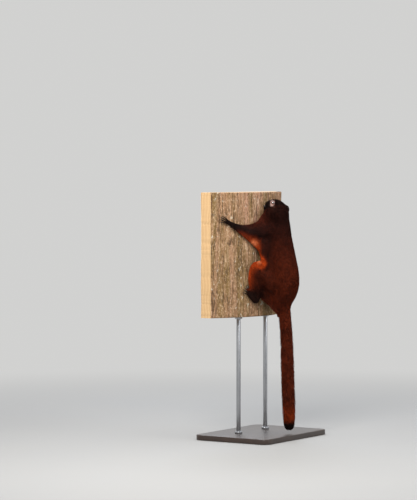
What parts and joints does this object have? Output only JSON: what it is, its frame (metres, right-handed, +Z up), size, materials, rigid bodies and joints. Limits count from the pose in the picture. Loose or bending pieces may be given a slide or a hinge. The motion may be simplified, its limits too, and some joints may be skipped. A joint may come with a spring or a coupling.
{
  "type": "giant flying squirrel model",
  "caption": "Life-size still model of a giant flying squirrel clinging head up to a bark-faced slab of trunk, its bushy tail hanging straight, on a flat base with slim rods.",
  "frame": {"origin": "centre of the underside of the stand's base plate, on the floor", "axes": "+Z up, along the animal's body from tail to head; the animal's back faces -Y and its left side faces -X; the bark slab's axis is vertical"},
  "size_m": [0.4913, 0.32, 0.922],
  "materials": {
    "fur": "dense soft fur, dark mahogany red",
    "membrane_fur": "short fur, orange on the underside of the membrane",
    "ear_skin": "thin skin with short dark hair",
    "bare_skin": "blackish short-haired skin with dark claws",
    "eye": "wet gloss, dark red-brown",
    "bark": "rough pale bark on the round face, sawn wood on the cut faces",
    "stand_wood": "dark satin lacquer",
    "stand_steel": "satin"
  },
  "bodies": {
    "root": {"torso": "fur", "neck": "fur", "head": "fur", "tail": "fur", "ear_left": "ear_skin", "eye_left": "eye", "upper_arm_left": "fur", "forearm_left": "fur", "hand_left": "bare_skin", "thigh_left": "fur", "shank_left": "fur", "foot_left": "bare_skin", "neck_membrane_left": "fur", "flank_membrane_left": "membrane_fur", "tail_membrane_left": "fur", "ear_right": "ear_skin", "eye_right": "eye", "upper_arm_right": "fur", "forearm_right": "fur", "hand_right": "bare_skin", "thigh_right": "fur", "shank_right": "fur", "foot_right": "bare_skin", "neck_membrane_right": "fur", "flank_membrane_right": "membrane_fur", "tail_membrane_right": "fur", "perch_trunk": "bark", "stand_base": "stand_wood", "stand_rod_left": "stand_steel", "stand_rod_right": "stand_steel"}
  },
  "joints": []
}
